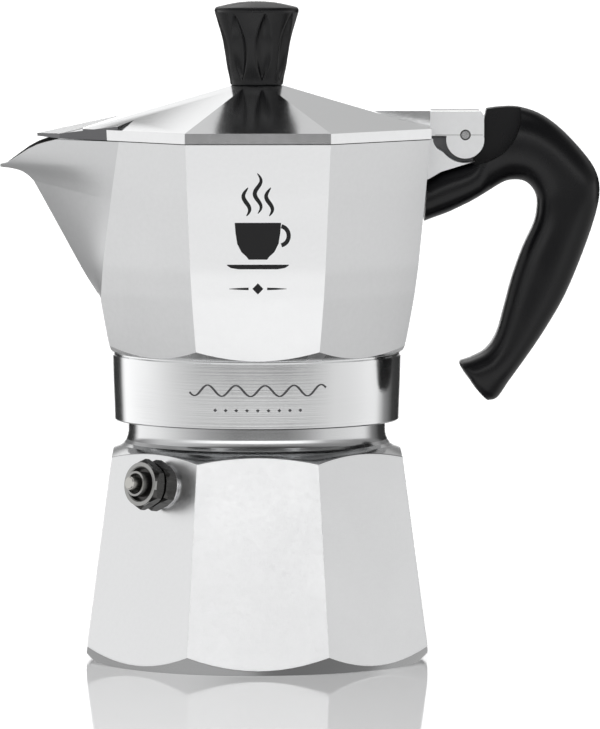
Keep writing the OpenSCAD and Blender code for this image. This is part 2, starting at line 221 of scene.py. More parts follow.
def stretched(nodes, links, scale):
    """Object coordinates scaled per axis, for grain that runs one way."""
    coord = node(nodes, "ShaderNodeTexCoord")
    mapping = node(nodes, "ShaderNodeMapping")
    mapping.inputs["Scale"].default_value = scale
    links.new(coord.outputs["Object"], mapping.inputs["Vector"])
    return mapping.outputs["Vector"]


def ramp(nodes, links, source, stops):
    made = node(nodes, "ShaderNodeValToRGB")
    elements = made.color_ramp.elements
    while len(elements) < len(stops):
        elements.new(0.5)
    for element, (position, value) in zip(elements, stops):
        element.position = position
        element.color = (*value, 1) if isinstance(value, tuple) else (value, value, value, 1)
    links.new(source, made.inputs["Fac"])
    return made.outputs["Color"]


def around_even(nodes, links):
    """Object coordinates with the same scale along each axis."""
    return stretched(nodes, links, (1, 1, 1))


# Noise hardly ever leaves this range, so a ramp turns from one value to the other inside it
NOISE_LOW, NOISE_HIGH = 0.3, 0.7


def metal(name, colour, rough, grain, depth, spread=0.05):
    """Aluminium or steel: fine directional grain, cloudy polish and faint pitting."""
    cloud_scale, cloud_share, darker, bump_height = 60.0, 0.45, 0.94, 0.0002
    material, nodes, links = new_material(name)
    shader = nodes["Principled BSDF"]
    shader.inputs["Metallic"].default_value = 1.0
    fine = node(nodes, "ShaderNodeTexNoise", Scale=1.0, Detail=4.0, Roughness=0.6)
    links.new(stretched(nodes, links, grain), fine.inputs["Vector"])
    cloud = node(nodes, "ShaderNodeTexNoise", Scale=cloud_scale, Detail=3.0)
    links.new(around_even(nodes, links), cloud.inputs["Vector"])
    both = node(nodes, "ShaderNodeMix", data_type="FLOAT")
    both.inputs[0].default_value = cloud_share
    links.new(fine.outputs["Fac"], both.inputs[2])
    links.new(cloud.outputs["Fac"], both.inputs[3])
    roughness = [(NOISE_LOW, rough - spread), (NOISE_HIGH, rough + spread)]
    links.new(ramp(nodes, links, both.outputs[0], roughness), shader.inputs["Roughness"])
    shades = [(NOISE_LOW, tuple(c * darker for c in colour)), (NOISE_HIGH, colour)]
    links.new(ramp(nodes, links, both.outputs[0], shades), shader.inputs["Base Color"])
    bump = node(nodes, "ShaderNodeBump", Strength=depth, Distance=bump_height)
    links.new(fine.outputs["Fac"], bump.inputs["Height"])
    links.new(bump.outputs["Normal"], shader.inputs["Normal"])
    return material


def lathe_metal(name, colour, rough, depth):
    """Metal turned on a lathe: fine rings by height, over a cloudy polish."""
    return metal(name, colour, rough, grain=(3, 3, 2600), depth=depth, spread=0.04)


def plastic(name, colour, rough, gloss=0.5):
    """Moulded plastic: fine satin texture and slightly polished patches."""
    fine_scale, patch_scale, lighter, bump_height = 1400.0, 45.0, 1.25, 0.00008
    material, nodes, links = new_material(name)
    shader = nodes["Principled BSDF"]
    shader.inputs["Specular IOR Level"].default_value = gloss
    fine = node(nodes, "ShaderNodeTexNoise", Scale=fine_scale, Detail=3.0)
    links.new(around_even(nodes, links), fine.inputs["Vector"])
    patch = node(nodes, "ShaderNodeTexNoise", Scale=patch_scale, Detail=2.0)
    links.new(around_even(nodes, links), patch.inputs["Vector"])
    roughness = [(NOISE_LOW, rough - 0.05), (NOISE_HIGH, rough + 0.06)]
    links.new(ramp(nodes, links, patch.outputs["Fac"], roughness), shader.inputs["Roughness"])
    shades = [(NOISE_LOW, colour), (NOISE_HIGH, tuple(c * lighter for c in colour))]
    links.new(ramp(nodes, links, patch.outputs["Fac"], shades), shader.inputs["Base Color"])
    bump = node(nodes, "ShaderNodeBump", Strength=0.12, Distance=bump_height)
    links.new(fine.outputs["Fac"], bump.inputs["Height"])
    links.new(bump.outputs["Normal"], shader.inputs["Normal"])
    return material


body_metal = metal("satin_aluminium", (0.9, 0.905, 0.91), rough=0.33, grain=(900, 900, 900), depth=0.05)
lid_metal = metal("bright_aluminium", (0.88, 0.885, 0.89), rough=0.16, grain=(700, 700, 700), depth=0.03,
                  spread=0.03)
cast_metal = metal("cast_aluminium", (0.92, 0.925, 0.93), rough=0.5, grain=(700, 700, 700), depth=0.1)
# Rougher aluminium for the spout's sides; its colour, darker than the body's, is painted shade
spout_painted_shade_metal = metal("satin_spout_painted_shade", (0.8, 0.805, 0.81), rough=0.42, grain=(900, 900, 900), depth=0.05)
# Turned metal darker than the rest: painted shade on the boiler's shoulder and neck under the collector
neck_painted_shade_metal = lathe_metal("turned_neck_painted_shade", (0.7, 0.705, 0.71), rough=0.14, depth=0.05)
# Near-black metal for the side walls of the lid's tongue over the spout: painted shade standing in for the dark
# reflection there
painted_shade_tongue_metal = metal("painted_shade_tongue_edge", (0.16, 0.16, 0.165), rough=0.3, grain=(700, 700, 700), depth=0.1)
# Dark grey cast metal for the bracket's tongue: painted shade for its side, seen in shadow through the pocket
painted_shade_cast = metal("painted_shade_cast_aluminium", (0.22, 0.22, 0.225), rough=0.55, grain=(500, 500, 500), depth=0.2)
turned_metal = lathe_metal("turned_aluminium", (0.84, 0.845, 0.85), rough=0.14, depth=0.045)
sheet_metal = metal("pressed_aluminium", (0.75, 0.76, 0.77), rough=0.32, grain=(300, 300, 40), depth=0.15)
steel_metal = metal("bright_steel", (0.66, 0.66, 0.67), rough=0.24, grain=(900, 900, 900), depth=0.08)
valve_metal = lathe_metal("dark_valve_metal", (0.075, 0.074, 0.072), rough=0.27, depth=0.1)
bush_metal = lathe_metal("grey_valve_metal", (0.42, 0.42, 0.41), rough=0.34, depth=0.1)
pin_metal = lathe_metal("dull_nickel", (0.62, 0.61, 0.58), rough=0.3, depth=0.15)
black_plastic = plastic("black_plastic", (0.004, 0.004, 0.0045), rough=0.27, gloss=0.34)
handle_plastic = plastic("handle_plastic", (0.004, 0.004, 0.0045), rough=0.27, gloss=0.27)
silicone = plastic("red_silicone", (0.5, 0.05, 0.03), rough=0.5)
gasket_rubber = plastic("gasket_rubber", (0.75, 0.73, 0.68), rough=0.55)
print_ink = plastic("black_print", (0.004, 0.004, 0.0045), rough=0.4, gloss=0.3)
etched_ink = plastic("grey_etching", (0.05, 0.05, 0.052), rough=0.4, gloss=0.3)

node_finish = {
    "valve_washer": steel_metal, "valve_bush": bush_metal, "valve_pin": pin_metal,
    "valve_seal": silicone, "valve_spring": steel_metal, "funnel_basket": sheet_metal,
    "funnel_sieve": sheet_metal, "funnel_stem": sheet_metal, "gasket": gasket_rubber,
    "filter_plate": sheet_metal, "handle_screw": steel_metal, "hinge_pin": steel_metal,
    "knob_screw": steel_metal, "knob_washer": steel_metal,
}
for name, material in node_finish.items():
    for slot in frame["nodes"][name].material_slots:
        slot.material = material


# ---------------------------------------------------------------- boiler

# Corner distance of the walls at height 0, and what it loses for each millimetre up
BOILER_R0, BOILER_SLOPE = 44.924, 0.14192
# Cone that cuts the lower corners, through the foot's edge, and the shoulder's cone down from the neck
FOOT_R, FOOT_SLOPE = 40.1, 6.4 / 6
NECK_R, NECK_Z, SHOULDER_SLOPE = 34.6, 51.7, -0.4957


def octagon_angles():
    """(angle, flat face's distance over the corner's) for the columns of points round an octagon."""
    out = []
    for face in range(8):
        for k in range(PER_SIDE):
            d = lerp(-HALF_FACE, HALF_FACE, k / PER_SIDE)
            out.append((math.radians(FACE_STEP * face + d), FLATS / math.cos(math.radians(d))))
    return out


def wall_edge(columns, slope, r0, z0):
    """Ring where the flat walls meet a cone that rises by a slope from radius r0 at height z0."""
    ring = []
    for a, g in columns:
        r = g * (BOILER_R0 - BOILER_SLOPE * (z0 - slope * r0)) / (1 + BOILER_SLOPE * slope * g)
        ring.append((r * math.cos(a), r * math.sin(a), z0 + slope * (r - r0)))
    return ring


def boiler():
    columns = octagon_angles()
    angles = [a for a, _ in columns]
    low = wall_edge(columns, FOOT_SLOPE, FOOT_R, 0)
    high = wall_edge(columns, SHOULDER_SLOPE, NECK_R, NECK_Z)
    walls = [[Vector(p).lerp(Vector(q), t) for p, q in zip(low, high)] for t in (0, 0.25, 0.5, 0.75, 1)]
    # Neck, thread root, mouth, then down inside to the floor of the tank
    neck = [(NECK_R, NECK_Z), (33.2, 52.2), (32.3, 52.8), (31.7, 53.6), (31.35, 54.5), (31.2, 55.6),
            (31.2, 58.4), (29.9, 59.2), (29.9, 67.6), (29.5, 68), (26.9, 68), (26.9, 54.5), (28, 52),
            (30.6, 50), (31.8, 47), (37, 6.4), (36.2, 4.2), (34, 3.2), (10, 3.2)]
    bottom = [(10, 0.0), (30, 0.0), (FOOT_R, 0.0)]
    rings = [circle(r, z, angles) for r, z in bottom] + walls + [circle(r, z, angles) for r, z in neck]
    piece = finish_piece("boiler_shell", to_mesh(ring_mesh(rings), "boiler_shell"), "base", body_metal)
    bevel(piece, 0.45)
    mesh = piece.data
    mesh.materials.append(turned_metal)
    mesh.materials.append(neck_painted_shade_metal)
    # Turned under the foot and above the shoulder; a face is turned or flat by how far its normal is upright.
    # The shoulder and neck take the darker turned metal, as painted shade.
    ground_z, foot_top, shoulder_z, neck_from, facing = 0.05, 3, 44, 51.0, 0.5
    for polygon in mesh.polygons:
        z, up = polygon.center.z / MM, polygon.normal.z
        if z < ground_z or (z < foot_top and up < -facing):
            polygon.material_index = 1
        if z > neck_from or (z > shoulder_z and up > facing):
            polygon.material_index = 2
    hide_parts("boiler")
    thread = to_mesh(helix_ridge(root=29.6, crest=31.1, z_low=60.6, z_high=66.6), "boiler_thread")
    finish_piece("boiler_thread", thread, "base", turned_metal)


boiler()


# ---------------------------------------------------------------- collector

# Corner distance of the octagon by height, up to the rim
PROFILE = [(74.4, 37.9), (76.7, 38.4), (83, 39.7), (89.5, 40.9), (96, 41.85), (103.2, 42.6),
           (109, 43.2), (114.6, 43.8), (120.5, 44.4), (126.5, 45.0)]
RIM_Z = 126.5
# Outside of the turned band under the collector
SKIRT = [(34.5, 58.5), (34.65, 63), (34.85, 68), (35.0, 73.9)]
# Where the creases beside the spout start, and how far along their facets they come at the rim
CREASE_Z = 88.0
CREASE_SHARE = 0.35
# Keel of the spout: distance from the axis and height; the last four points are past the tip and cut away
KEEL = [(38.1, 88), (41.85, 94), (46.9, 103.2), (53.0, 114.3), (54.4, 116.4), (56.6, 118.1), (59.4, 118.9),
        (61.9, 119.25), (64.3, 120.1), (66.2, 122.2), (67.2, 124.6), (67.5, 126.5)]
SPOUT_X = 61.9
# What is cut away above the spout's edge: distance ahead of the axis and height
MOUTH = [(-46.5, 140), (-46.5, 126.9), (-48.5, 126.4), (-50.3, 125.9), (-52.7, 125.1), (-54.9, 124),
         (-58.1, 121.8), (-60.4, 120.2), (-SPOUT_X, 119.9), (-SPOUT_X, 110), (-75, 110), (-75, 140)]


def crease_share(z):
    """How far along its facet the spout's side starts at one height."""
    return CREASE_SHARE * max(0.0, z - CREASE_Z) / (RIM_Z - CREASE_Z)


def vessel_columns(z, corner_r, keel):
    """Points round the collector at one level: octagon corners, two creases and the keel."""
    def corner(number):
        a = math.radians(HALF_FACE + FACE_STEP * number)
        return Vector((corner_r * math.cos(a), corner_r * math.sin(a), z))
    crease = corner(3).lerp(corner(2), crease_share(z))
    other = Vector((crease.x, -crease.y, z))
    marks = [corner(0), corner(1), corner(2), crease, Vector(keel), other, corner(5), corner(6), corner(7)]
    out = []
    for mark, after in zip(marks, marks[1:] + marks[:1]):
        out += [mark.lerp(after, i / PER_SIDE) for i in range(PER_SIDE)]
    return out


def octagon(z, corner_r):
    """The same points below the spout, with the keel's place in the middle of its flat face."""
    return vessel_columns(z, corner_r, (-corner_r * FLATS, 0, z))


def crease_at(z):
    """Where the spout's side leaves its facet at one height, as (X, distance from the X axis)."""
    before, after = (Vector((math.cos(a), math.sin(a)))
                     for a in (math.radians(HALF_FACE + FACE_STEP * number) for number in (3, 2)))
    return before.lerp(after, crease_share(z)) * table(PROFILE, z)


def on_crease(point, tolerance=0.03):
    """Whether a point lies on either crease beside the spout."""
    if not CREASE_Z < point.z < RIM_Z:
        return False
    return (Vector((point.x, abs(point.y))) - crease_at(point.z)).length < tolerance


def vessel_side(inset):
    """Rings from the spout's foot to the rim; inset is how far this surface lies inside the outer one."""
    keel_steps, keel_start, keel_back, keel_lift = 6, KEEL[0][0] + 0.1, inset * 0.8, inset * 0.4
    keel_curve = smooth_curve([(x, z, 0) for x, z in KEEL], keel_steps)
    run = [0.0]
    for p, q in zip(keel_curve, keel_curve[1:]):
        run.append(run[-1] + (q - p).length)
    rings = []
    for length, (keel_x, keel_z, _) in zip(run, keel_curve):
        z = lerp(CREASE_Z, RIM_Z, length / run[-1])
        corner_r = table(PROFILE, z) - inset
        if keel_x < keel_start:
            rings.append(octagon(z, corner_r))
        else:
            lift = keel_lift if CREASE_Z < keel_z < RIM_Z else 0.0
            rings.append(vessel_columns(z, corner_r, (keel_back - keel_x, 0, keel_z + lift)))
    return rings


def collector():
    wall = 2.8
    level, size = 80, 40
    outline = octagon(level, size)
    angles = [math.atan2(p.y, p.x) for p in outline]
    # Scalloped edge, where the walls run out over the cone above the turned band
    scallop_r, scallop_lean, cone_z, cone_rise = 32.9, 0.1426, 51.72, 0.656
    scallop = []
    for a, p in zip(angles, outline):
        g = p.xy.length / size
        r = scallop_r * g / (1 - scallop_lean * g)
        scallop.append((r * math.cos(a), r * math.sin(a), cone_z + cone_rise * r))
    band = [(31.5, 71.9), (31.5, 58.6), (31.8, 58.2), (34.2, 58.2)] + SKIRT + [(34.7, 74.2), (34.7, 74.5)]
    rings = [circle(r, z, angles) for r, z in band] + [scallop]
    rings += [octagon(z, table(PROFILE, z)) for z in (78.5, 81, 84, 87)]
    rings += vessel_side(0.0)
    rings += vessel_side(wall)[::-1]
    rings += [octagon(84, table(PROFILE, 84) - wall), octagon(78.4, 35.9), octagon(76.6, 33.6)]
    # Floor of the jug and the column that stands on it
    column = [(27, 75.5), (9, 75.4), (7.2, 77.9), (6.4, 81.4), (6.0, 88), (5.4, 101), (5.0, 112)]
    rings += [circle(r, z, angles) for r, z in column]
    piece = finish_piece("collector_shell", to_mesh(ring_mesh(rings), "collector_shell"), "top", body_metal)
    cut(piece, plate(MOUTH, width=60))
    piece.data.set_sharp_from_angle(angle=math.radians(CAST_SHARP_DEG))
    for edge in piece.data.edges:
        if all(on_crease(piece.data.vertices[k].co / MM) for k in edge.vertices):
            edge.use_edge_sharp = True
    bevel(piece, 0.4, angle=22)
    piece.data.materials.append(turned_metal)
    piece.data.materials.append(spout_painted_shade_metal)
    # The spout's rougher finish, its colour darkened as painted shade, reaches a little inside the flat faces,
    # and the turned one ends above the band
    spout_margin, band_top, step_top, step_r = 1.7, 74.6, 76.5, 36
    for polygon in piece.data.polygons:
        centre = polygon.center / MM
        if centre.z > CREASE_Z and centre.x < 0 and abs(centre.y) < crease_at(centre.z).y:
            flat_r = table(PROFILE, centre.z) * FLATS - spout_margin
            if max(-centre.x, (abs(centre.y) - centre.x) / math.sqrt(2)) > flat_r:
                polygon.material_index = 2
        if centre.z < band_top or (centre.z < step_top and centre.xy.length < step_r):
            polygon.material_index = 1
    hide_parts("collector")
    thread = to_mesh(helix_ridge(root=31.8, crest=30.3, z_low=62.1, z_high=66.6), "collector_thread")
    finish_piece("collector_thread", thread, "top", turned_metal)


collector()


def column_top():
    """Upper end of the column: a thin-walled tip with an outlet on each side."""
    outlet_low, outlet_high, outlet_half, wall = 111.9 * MM, 114.7 * MM, 2.0 * MM, 1.4 * MM
    profile = [(5.0, 110), (4.95, 112), (4.8, 114.6), (4.6, 116.2), (4.2, 117.2), (3.2, 117.9), (1.2, 118)]
    bm = turned(profile, 48, first_cap=False)
    outlets = []
    for face in bm.faces:
        middle = face.calc_center_median()
        if outlet_low < middle.z < outlet_high and abs(middle.x) < outlet_half:
            outlets.append(face)
    bmesh.ops.delete(bm, geom=outlets, context="FACES")
    piece = finish_piece("column_tip", to_mesh(bm, "column_tip"), "top", cast_metal)
    thick = piece.modifiers.new("wall", "SOLIDIFY")
    thick.thickness = wall
    thick.offset = -1


column_top()


def bracket():
    """Hinge bracket cast on the collector: a block with a round pocket and a tongue up to the pin, the tongue
    painted dark grey as shade.
    """
    pocket_r, pocket_top, eye_r = 6.76, 123.4, 3.6
    block_width, tongue_width = 15, 6
    pocket = [p for p in arc(hinge_x, hinge_z, pocket_r, -70, -171.5, 24) if p[1] < pocket_top]
    block = [(42.4, 126.2), (39.3, 126.2), (39.3, 115.9), (41.4, 116.6), (44.3, 118.3)] + pocket
    block += [(43.3, 124.0), (42.7, 124.9), (42.45, 125.6)]
    piece = finish_piece("hinge_bracket", to_mesh(plate(block, block_width), "hinge_bracket"), "top",
                         cast_metal)
    bevel(piece, 0.5)
    eye = [(hinge_x - eye_r, hinge_z), (46.2, 126.6), (39.5, 126.6), (39.5, 119.6), (52.2, 120.6), (52.6, 123)]
    eye += arc(hinge_x, hinge_z, eye_r, 0, 170, 20)
    # The tongue is painted dark grey as shade: it is seen in shadow through the pocket round the lid's ears
    tongue = finish_piece("hinge_tongue", to_mesh(plate(eye, tongue_width), "hinge_tongue"), "top",
                          painted_shade_cast)
    bevel(tongue, 0.3)


bracket()


def hinge_marks():
    """Rolled rim on each end of the hinge pin, painted near-black as shade round the pin's end, and the fine
    parting line across the lid's ears.
    """
    rolled = [(0.95, -0.3), (0.95, 0.03), (1.0, 0.07), (1.2, 0.07), (1.25, 0.03), (1.25, -0.3)]
    seam_back, seam_front, seam_half, seam_depth = hinge_x - 7.4, hinge_x + 4.2, 0.07, 0.1
    low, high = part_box("hinge_pin")
    for tag, end, side in (("front", low[1], -1), ("back", high[1], 1)):
        rim = turned(rolled, 48)
        bmesh.ops.transform(rim, matrix=Matrix.Translation((hinge_x * MM, end, hinge_z * MM))
                            @ Matrix.Rotation(-side * math.pi / 2, 4, "X"), verts=rim.verts)
        # The rims take the near-black valve metal: painted shade that outlines the pin's ends as dark rings
        finish_piece("hinge_rim_" + tag, to_mesh(rim, "hinge_rim"), "cover", valve_metal,
                     LOOSE_SHARP_DEG)
        line = [(seam_back, hinge_z - seam_half), (seam_front, hinge_z - seam_half),
                (seam_front, hinge_z + seam_half), (seam_back, hinge_z + seam_half)]
        finish_piece("hinge_seam_" + tag, to_mesh(plate(line, seam_depth, end / MM), "hinge_seam"), "cover",
                     bush_metal, LOOSE_SHARP_DEG)


hinge_marks()


# ---------------------------------------------------------------- printed ornament

def on_front(u, z, lift):
    """Point of the front face, from the distance across it and its height."""
    return (u, -(table(PROFILE, z) * FLATS + lift), z)


def on_band(u, z, lift):
    """Point of the turned band, from the distance round it and its height."""
    radius = table([(height, r) for r, height in SKIRT], z) + lift
    a = -math.pi / 2 + u / SKIRT[-1][0]
    return (radius * math.cos(a), radius * math.sin(a), z)


def strokes(name, paths, place, material):
    """Thin printed strokes on a surface: each path is a list of (across, height, half width)."""
    sunk, raised = -0.06, 0.03
    bm = bmesh.new()
    for path in paths:
        rings = []
        for k, (u, z, half) in enumerate(path):
            before, after = path[max(k - 1, 0)], path[min(k + 1, len(path) - 1)]
            along = Vector((after[0] - before[0], after[1] - before[1])).normalized()
            du, dz = -along.y * half, along.x * half
            rings.append([place(u + du, z + dz, sunk), place(u + du, z + dz, raised),
                          place(u - du, z - dz, raised), place(u - du, z - dz, sunk)])
        part = to_mesh(ring_mesh(rings), name)
        bm.from_mesh(part)
        bpy.data.meshes.remove(part)
    finish_piece(name, to_mesh(bm, name), "top", material, LOOSE_SHARP_DEG)


def emblem():
    """A steaming cup on its saucer, with a small divider under it."""
    bowl_side = [(99.2, 2.2), (99.8, 2.6), (101, 3.9), (103, 4.9), (105.5, 5.3), (108, 5.5)]
    bowl = [(0, z, table(bowl_side, z)) for z in (99.2, 99.5, 99.8, 100.3, 101, 102, 103, 104, 105.5, 108)]
    grip_u, grip_z, grip_wide, grip_high, grip_half = 5.2, 104.9, 2.1, 2.3, 0.5
    grip = [(grip_u + grip_wide * math.cos(a), grip_z + grip_high * math.sin(a), grip_half)
            for a in (math.radians(d) for d in range(-80, 90, 10))]
    saucer = [(0, 96.9, 4.6), (0, 97.2, 6.4), (0, 97.7, 7.2), (0, 98.0, 7.4)]
    sway, plume_half, least_half, plume_steps = 0.75, 0.5, 0.08, 24
    steam = []
    for u, low, high in ((-2.7, 109.6, 116.4), (0, 110.2, 119.8), (2.7, 109.6, 116.4)):
        plume = []
        for k in range(plume_steps + 1):
            t = k / plume_steps
            z = lerp(low, high, t)
            half = max(least_half, plume_half * math.sin(math.pi * t) ** 0.5)
            plume.append((u + sway * math.sin(z - low), z, half))
        steam.append(plume)
    divider_z = 92.2
    diamond = [(0, 90.9, 0.05), (0, divider_z, 1.3), (0, 93.5, 0.05)]
    rules = [[(side * reach, divider_z, half) for reach, half in ((2.2, 0.3), (4.5, 0.22), (6.8, 0.05))]
             for side in (-1, 1)]
    strokes("front_emblem", [bowl, grip, saucer, diamond] + steam + rules, on_front, print_ink)


def band_ornament():
    """A waved line with a row of dots below it, etched round the front of the turned band."""
    wave_z, wave_height, wave_rate, dot_z, dot_r, dot_step = 67.6, 1.3, 0.9, 62.9, 0.45, 2.6
    wave = [(u, wave_z + wave_height * math.sin(u * wave_rate), 0.16 + 0.1 * abs(math.cos(u * wave_rate)))
            for u in (quarter / 4 for quarter in range(-68, 69))]
    dots = [[(u - dot_r, dot_z, 0.05), (u, dot_z, 0.42), (u + dot_r, dot_z, 0.05)]
            for u in (k * dot_step for k in range(-4, 5))]
    strokes("band_ornament", [wave] + dots, on_band, etched_ink)


emblem()
band_ornament()


# ---------------------------------------------------------------- lid

def lid():
    """The lid's solid with its edges rounded as polished casting has them, and painted shade on the side walls
    of its tongue over the spout.
    """
    ears_x, tongue_x, across, upright, ahead = 41.5 * MM, -38.5 * MM, 0.9, 0.1, 0.1
    bm = bmesh.new()
    bm.from_mesh(frame["nodes"]["lid"].data)
    bmesh.ops.remove_doubles(bm, verts=bm.verts, dist=2e-6)
    bmesh.ops.dissolve_limit(bm, angle_limit=math.radians(1.0), verts=bm.verts, edges=bm.edges)
    piece = finish_piece("lid_shell", to_mesh(bm, "lid_shell"), "cover", lid_metal)
    piece.data.materials.append(cast_metal)
    piece.data.materials.append(painted_shade_tongue_metal)
    for polygon in piece.data.polygons:
        x, normal = polygon.center.x, polygon.normal
        if x > ears_x and abs(normal.y) > across:
            polygon.material_index = 1
        # The tongue's side walls get the near-black metal: painted shade for the dark reflection they show
        if x < tongue_x and abs(normal.z) < upright and normal.x < -ahead:
            polygon.material_index = 2
    bevel(piece, 0.35, angle=12)
    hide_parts("lid")


lid()


# ---------------------------------------------------------------- knob

def knob():
    """Turned knob with eight shallow flutes that fade out at both ends."""
    base, columns = 138.9, 192
    flute_from_deg, flute_z, flute_reach, flute_half, flute_depth = 90 - 11.5, 9.4, 8.2, 2.25, 1.35
    side = smooth_curve([(6.4, 0.5, 0), (6.6, 1.9, 0), (7.2, 4.7, 0), (8.3, 11.2, 0), (9.5, 15.5, 0),
                         (10.15, 17.7, 0)], 8)
    profile = [(2.0, 0.0), (5.9, 0.0), (6.25, 0.15)] + [(p.x, p.y) for p in side]
    profile += [(10.18, 18.1), (10.1, 18.5), (9.85, 18.8), (9.5, 18.95), (8.5, 19.2), (7.2, 19.5), (5.8, 19.8),
                (4.2, 20.05), (2.6, 20.2), (1.2, 20.26), (0.4, 20.27)]
    rings = []
    for r, z in profile:
        reach = max(0.0, 1 - ((z - flute_z) / flute_reach) ** 2)
        half = flute_half * reach
        ring = []
        for a in even_angles(columns):
            turn = math.degrees(a) + flute_from_deg
            off = math.radians((turn + HALF_FACE) % FACE_STEP - HALF_FACE) * r
            depth = 0.0
            if half > 0.05:
                depth = flute_depth * math.sqrt(reach) * max(0.0, 1 - (off / half) ** 2)
            ring.append(((r - depth) * math.cos(a), (r - depth) * math.sin(a), base + z))
        rings.append(ring)
    piece = finish_piece("knob_body", to_mesh(ring_mesh(rings), "knob_body"), "cover", black_plastic,
                         smooth_deg=60)
    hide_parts("knob")


knob()


# ---------------------------------------------------------------- handle

# Points of the handle's outline that face each other, from the grip's foot to the crown
GRIP = [((55.9, 62.7), (51.6, 67.6)), ((57.6, 63.0), (49.8, 70.0)), ((58.9, 64.2), (49.0, 72.0)),
        ((60.6, 66.8), (51.6, 73.0)), ((62.6, 69.6), (55.2, 75.0)), ((65.4, 73.5), (57.9, 79.0)),
        ((69.6, 79.7), (59.8, 85.6)), ((74.6, 88.4), (61.6, 92.4)), ((79.0, 99.0), (64.2, 99.8)),
        ((82.0, 108.1), (67.0, 106.0)), ((82.9, 114.1), (67.7, 110.4)), ((81.6, 119.0), (67.2, 113.0)),
        ((77.6, 124.3), (66.0, 114.8)), ((72.8, 129.1), (64.2, 115.9)), ((68.0, 132.3), (62.2, 116.1)),
        ((63.0, 133.8), (60.2, 115.8)), ((58.6, 133.8), (58.2, 114.8)), ((55.4, 133.4), (56.0, 113.4))]
# Half the grip's width at each of those
GRIP_HALVES = [7.6, 8.4, 8.8] + [9.0] * 13 + [8.9, 8.6]
# The same for the arm that goes on to the collector
ARM = [((53.3, 122.6), (54.0, 112.2)), ((51.6, 120.7), (51.2, 110.6)), ((47.5, 119.4), (46.6, 108.4)),
       ((44.2, 118.1), (43.4, 107.2)), ((41.0, 116.2), (40.4, 106.1))]
ARM_HALF = 8.0


def handle():
    """Loft along the handle: each section joins an outer point to an inner one, with rounded sides."""
    columns, squareness = 40, 2 / 2.7
    grip_outer = smooth_curve([(*outer, half) for (outer, _), half in zip(GRIP, GRIP_HALVES)], 4)
    grip_inner = smooth_curve([(*inner, 0) for _, inner in GRIP], 4)
    arm_outer = smooth_curve([(*outer, ARM_HALF) for outer, _ in ARM], 2)
    arm_inner = smooth_curve([(*inner, 0) for _, inner in ARM], 2)
    rings = []
    for outer, inner in list(zip(grip_outer, grip_inner)) + list(zip(arm_outer, arm_inner)):
        centre = (outer.xy + inner.xy) / 2
        reach = (outer.xy - inner.xy) / 2
        ring = []
        for a in even_angles(columns):
            u, v = (math.copysign(abs(part) ** squareness, part) for part in (math.cos(a), math.sin(a)))
            ring.append((centre.x + reach.x * u, outer.z * v, centre.y + reach.y * u))
        rings.append(ring)
    # The foot of the grip is rounded off past its first section
    first = rings[0]
    middle = sum((Vector(p) for p in first), Vector()) / columns
    past = Vector((-0.25, 0, -0.3))
    tip = [[Vector(p).lerp(middle, t) + past * math.sqrt(t) for p in first] for t in (0.75, 0.45, 0.2)]
    piece = finish_piece("handle_grip", to_mesh(ring_mesh(tip + rings), "handle_grip"), "top",
                         handle_plastic, LOOSE_SHARP_DEG)
    # Round clearance for the lid's ears, on both sides of the web between them
    scoop_x, scoop_z, scoop_r, scoop_width, scoop_steps, web_half = 51.6, 132.1, 12.1, 12, 59, 2.9
    scoop = arc(scoop_x, scoop_z, scoop_r, 0, 360 - 6, scoop_steps)
    for side in (-1, 1):
        cut(piece, plate(scoop, scoop_width, side * (web_half + scoop_width / 2)))
    screw_x, hole_r, hole_bottom, hole_top = 49, 2.9, 100, 113.5
    screw_hole = turned([(hole_r, hole_bottom), (hole_r, hole_top)], 40)
    bmesh.ops.translate(screw_hole, verts=screw_hole.verts, vec=(screw_x * MM, 0, 0))
    cut(piece, screw_hole)
    for polygon in piece.data.polygons:
        polygon.use_smooth = True
    piece.data.set_sharp_from_angle(angle=math.radians(35))
    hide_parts("handle")


handle()


# ---------------------------------------------------------------- safety valve

